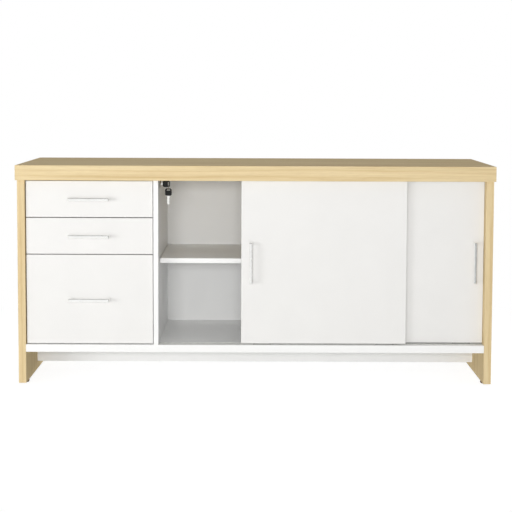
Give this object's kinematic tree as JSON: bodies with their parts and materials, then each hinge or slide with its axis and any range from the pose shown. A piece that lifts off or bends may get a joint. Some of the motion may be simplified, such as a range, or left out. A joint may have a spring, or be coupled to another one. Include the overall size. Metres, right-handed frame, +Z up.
{
  "type": "office credenza",
  "caption": "Low office cabinet on panel legs with an oak-look top and sides, white lockable drawers on one side and a shelved bay behind two sliding doors.",
  "frame": {"origin": "on the floor, at the middle of the overall length and of the overall depth with the handles", "axes": "+X to the right seen from the front, along the length; +Y to the back; +Z up. The front faces -Y."},
  "size_m": [1.6, 0.464, 0.74],
  "materials": {
    "oak_laminate": "light oak-look melamine with straight fine grain, satin",
    "white_laminate": "warm white melamine-faced board, satin",
    "satin_metal": "satin bright-plated bar handles",
    "painted_steel": "white powder coat on folded sheet steel",
    "zinc_steel": "zinc-plated steel",
    "bright_nickel": "nickel plate",
    "white_plastic": "extruded and moulded white plastic",
    "brown_plastic": "brown moulded glide",
    "black_plastic": "black moulded key bow with a steel blade in it",
    "grey_plastic": "grey moulded sliding shoe"
  },
  "bodies": {
    "carcass": {"top_panel": "oak_laminate", "left_side_panel": "oak_laminate", "right_side_panel": "oak_laminate", "bottom_panel": "white_laminate", "divider_panel": "white_laminate", "back_panel": "white_laminate", "skirt_panel": "white_laminate", "shelf": "white_laminate", "front_left_shelf_pin": "zinc_steel", "back_left_shelf_pin": "zinc_steel", "front_right_shelf_pin": "zinc_steel", "back_right_shelf_pin": "zinc_steel", "front_left_glide": "brown_plastic", "back_left_glide": "brown_plastic", "front_right_glide": "brown_plastic", "back_right_glide": "brown_plastic", "upper_door_track": "white_plastic", "lower_door_track": "white_plastic", "top_drawer_left_runner": "zinc_steel", "top_drawer_right_runner": "zinc_steel", "middle_drawer_left_runner": "zinc_steel", "middle_drawer_right_runner": "zinc_steel", "file_drawer_left_runner": "zinc_steel", "file_drawer_right_runner": "zinc_steel", "lock_barrel": "bright_nickel"},
    "top_drawer": {"top_drawer_front": "white_laminate", "top_drawer_left_side": "painted_steel", "top_drawer_right_side": "painted_steel", "top_drawer_bottom": "white_laminate", "top_drawer_back": "white_laminate", "top_drawer_handle": "satin_metal", "top_drawer_lock_catch": "zinc_steel"},
    "middle_drawer": {"middle_drawer_front": "white_laminate", "middle_drawer_left_side": "painted_steel", "middle_drawer_right_side": "painted_steel", "middle_drawer_bottom": "white_laminate", "middle_drawer_back": "white_laminate", "middle_drawer_handle": "satin_metal", "middle_drawer_lock_catch": "zinc_steel"},
    "file_drawer": {"file_drawer_front": "white_laminate", "file_drawer_left_side": "painted_steel", "file_drawer_right_side": "painted_steel", "file_drawer_bottom": "white_laminate", "file_drawer_back": "white_laminate", "file_drawer_handle": "satin_metal", "file_drawer_lock_catch": "zinc_steel", "file_drawer_hanging_frame": "zinc_steel"},
    "front_door": {"front_door_panel": "white_laminate", "front_door_handle": "satin_metal", "front_door_left_shoe": "grey_plastic", "front_door_right_shoe": "grey_plastic"},
    "rear_door": {"rear_door_panel": "white_laminate", "rear_door_handle": "satin_metal", "rear_door_left_shoe": "grey_plastic", "rear_door_right_shoe": "grey_plastic"},
    "lock_plug": {"lock_plug": "bright_nickel", "key": "black_plastic"},
    "lock_bar": {"lock_bar": "zinc_steel"},
    "key_ring": {"key_ring": "bright_nickel", "spare_key": "black_plastic"}
  },
  "joints": [
    {"name": "top_drawer_slide", "type": "slide", "parent": "carcass", "child": "top_drawer", "axis": [0, -1, 0], "range_m": [0, 0.3]},
    {"name": "middle_drawer_slide", "type": "slide", "parent": "carcass", "child": "middle_drawer", "axis": [0, -1, 0], "range_m": [0, 0.3]},
    {"name": "file_drawer_slide", "type": "slide", "parent": "carcass", "child": "file_drawer", "axis": [0, -1, 0], "range_m": [0, 0.3]},
    {"name": "front_door_slide", "type": "slide", "parent": "carcass", "child": "front_door", "axis": [1, 0, 0], "range_m": [-0.277, 0.221]},
    {"name": "rear_door_slide", "type": "slide", "parent": "carcass", "child": "rear_door", "axis": [1, 0, 0], "range_m": [-0.221, 0]},
    {"name": "lock_turn", "type": "hinge", "parent": "carcass", "child": "lock_plug", "pos_m": [-0.325, -0.133, 0.673], "axis": [1, 0, 0], "range_deg": [0, 90]},
    {"name": "lock_bar_lift", "type": "slide", "parent": "carcass", "child": "lock_bar", "axis": [0, 0, 1], "range_m": [0, 0.00707]},
    {"name": "key_ring_hang", "type": "hinge", "parent": "lock_plug", "child": "key_ring", "pos_m": [-0.296, -0.133, 0.66438], "axis": [1, 0, 0], "range_deg": [-90, 0]}
  ],
  "couplings": [
    {"joint": "lock_turn", "follows": "lock_bar_lift", "rad_per_m": 222.14},
    {"joint": "key_ring_hang", "follows": "lock_bar_lift", "rad_per_m": -222.14}
  ]
}
